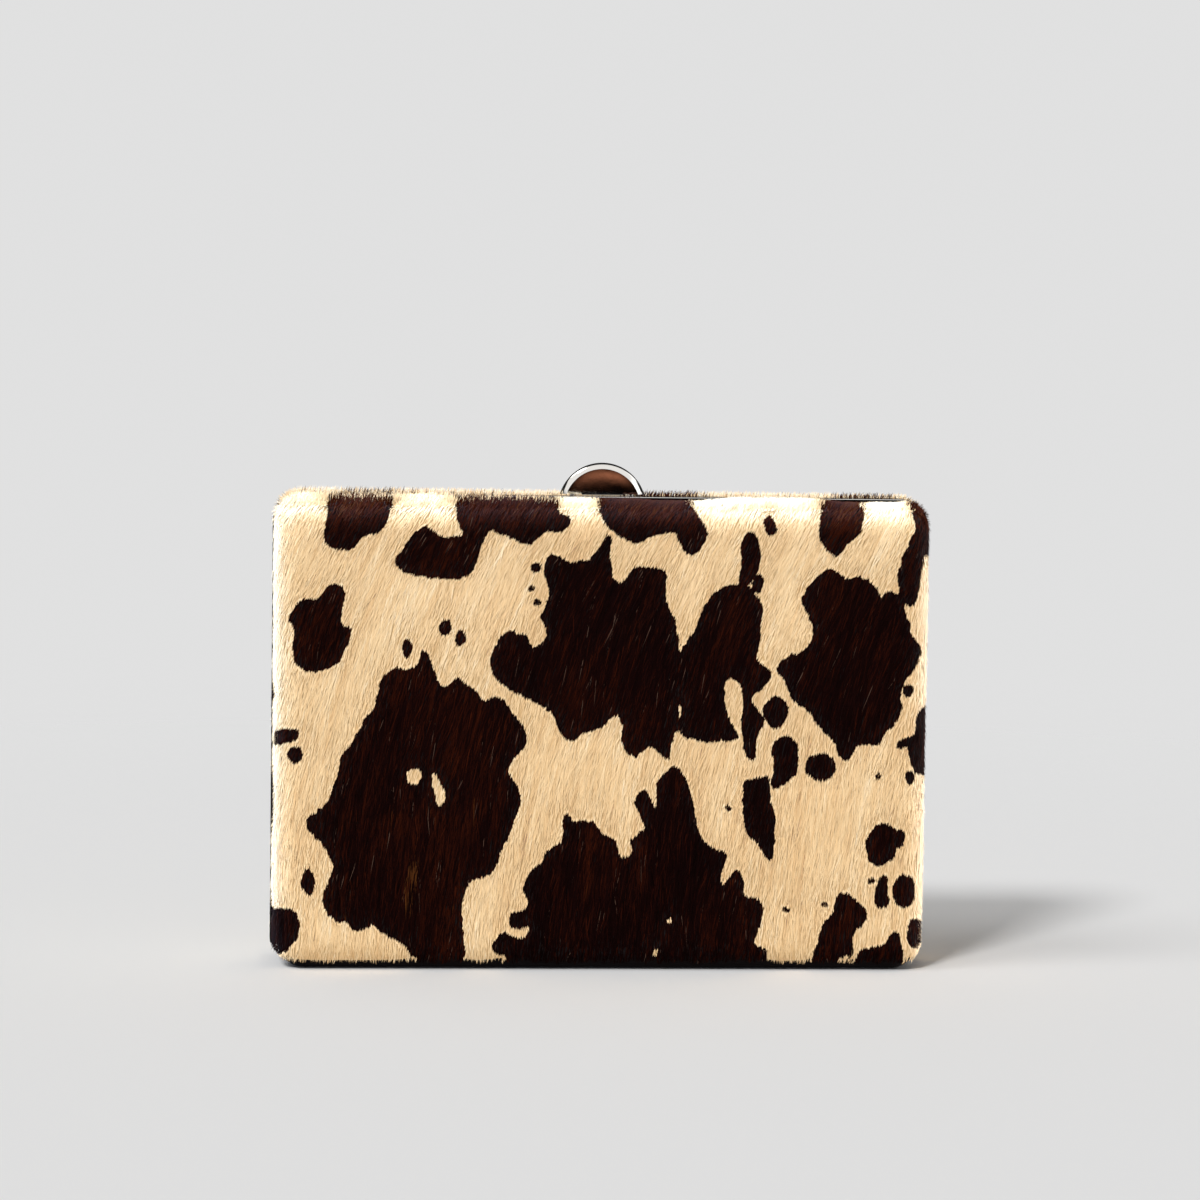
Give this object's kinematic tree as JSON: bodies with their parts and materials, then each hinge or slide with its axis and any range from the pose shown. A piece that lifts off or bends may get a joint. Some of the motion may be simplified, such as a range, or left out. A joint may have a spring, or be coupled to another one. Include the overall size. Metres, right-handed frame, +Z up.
{
  "type": "frame wallet",
  "caption": "Hard-sided frame wallet in patched calf hair: shallow covers on a hinged nickel frame, closed by a half-round tab.",
  "frame": {"origin": "middle of the base that the closed wallet stands on, in the plane where its halves part", "axes": "+X along the width to the right, +Y from front to back, +Z up towards the tab"},
  "size_m": [0.1266, 0.025, 0.0972],
  "materials": {
    "calf_hair": "short smooth hair, cream with near-black brown patches",
    "nickel": "polished"
  },
  "bodies": {
    "back_half": {"back_cover": "calf_hair", "back_frame": "nickel", "hinge_pin": "nickel", "clasp_pin": "nickel"},
    "front_half": {"front_cover": "calf_hair", "front_frame": "nickel"},
    "clasp": {"clasp_tab": "nickel"}
  },
  "joints": [
    {"name": "frame_hinge", "type": "hinge", "parent": "back_half", "child": "front_half", "pos_m": [0, 0, 0.0019], "axis": [1, 0, 0], "range_deg": [0, 95]},
    {"name": "clasp_lever", "type": "hinge", "parent": "back_half", "child": "clasp", "pos_m": [0, 0.0019, 0.092], "axis": [1, 0, 0], "range_deg": [-35, 0], "stiffness_Nm_per_rad": 0.02, "springref_deg": 5.73}
  ]
}
